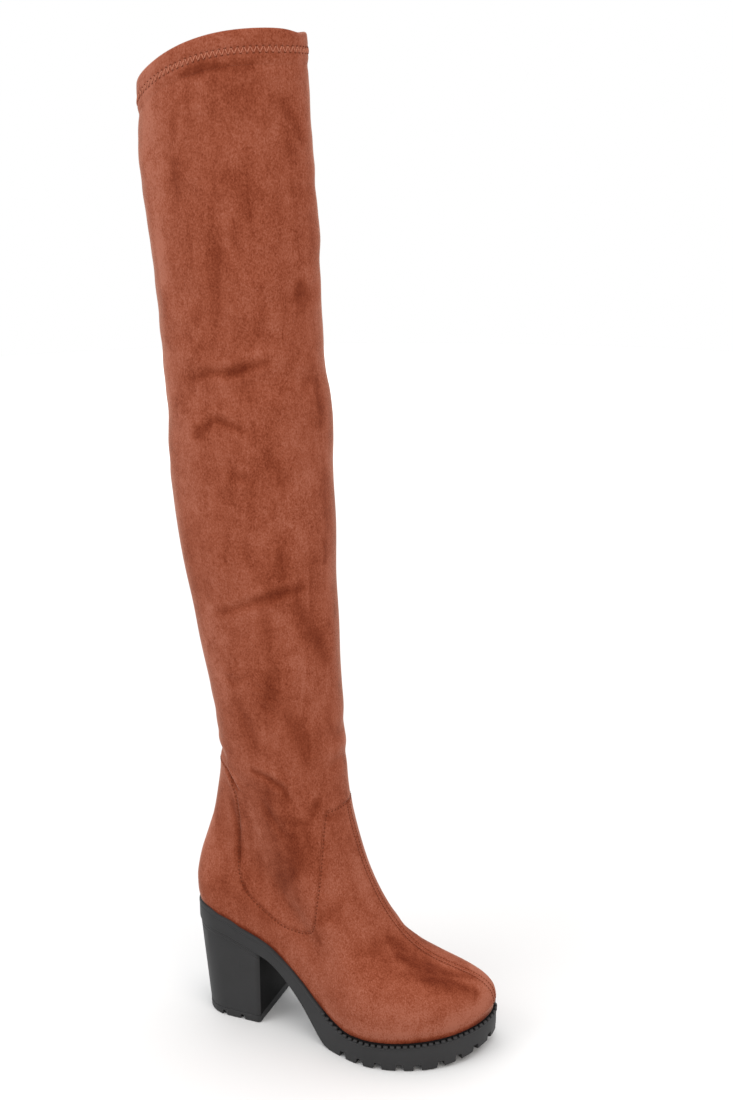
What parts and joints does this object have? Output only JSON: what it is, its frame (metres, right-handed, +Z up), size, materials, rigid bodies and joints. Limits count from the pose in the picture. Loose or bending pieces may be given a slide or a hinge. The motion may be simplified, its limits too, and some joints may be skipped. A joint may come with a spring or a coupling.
{
  "type": "thigh-high boot",
  "caption": "Pull-on thigh-high suede boot with a close shaft, folded top hem, block heel and notched rubber platform sole.",
  "frame": {"origin": "on the floor under the middle of the heel's wearing face", "axes": "+X points to the toe, +Y to the wearer's left (the boot's inner side), +Z up the leg"},
  "size_m": [0.2687, 0.0981, 0.748],
  "materials": {
    "outsole_rubber": "matt black moulded rubber",
    "welt_rubber": "satin black moulded rubber",
    "heel_rubber": "satin black moulded rubber",
    "heel_tip_rubber": "matt black moulded rubber",
    "insole_lining": "brushed textile",
    "upper_suede": "rust-brown suede nap",
    "shaft_suede": "rust-brown stretch suede nap",
    "top_band_suede": "rust-brown stretch suede nap"
  },
  "bodies": {
    "root": {"outsole": "outsole_rubber", "welt": "welt_rubber", "heel": "heel_rubber", "heel_tip": "heel_tip_rubber", "insole": "insole_lining", "upper": "upper_suede", "shaft": "shaft_suede", "top_band": "top_band_suede"}
  },
  "joints": []
}
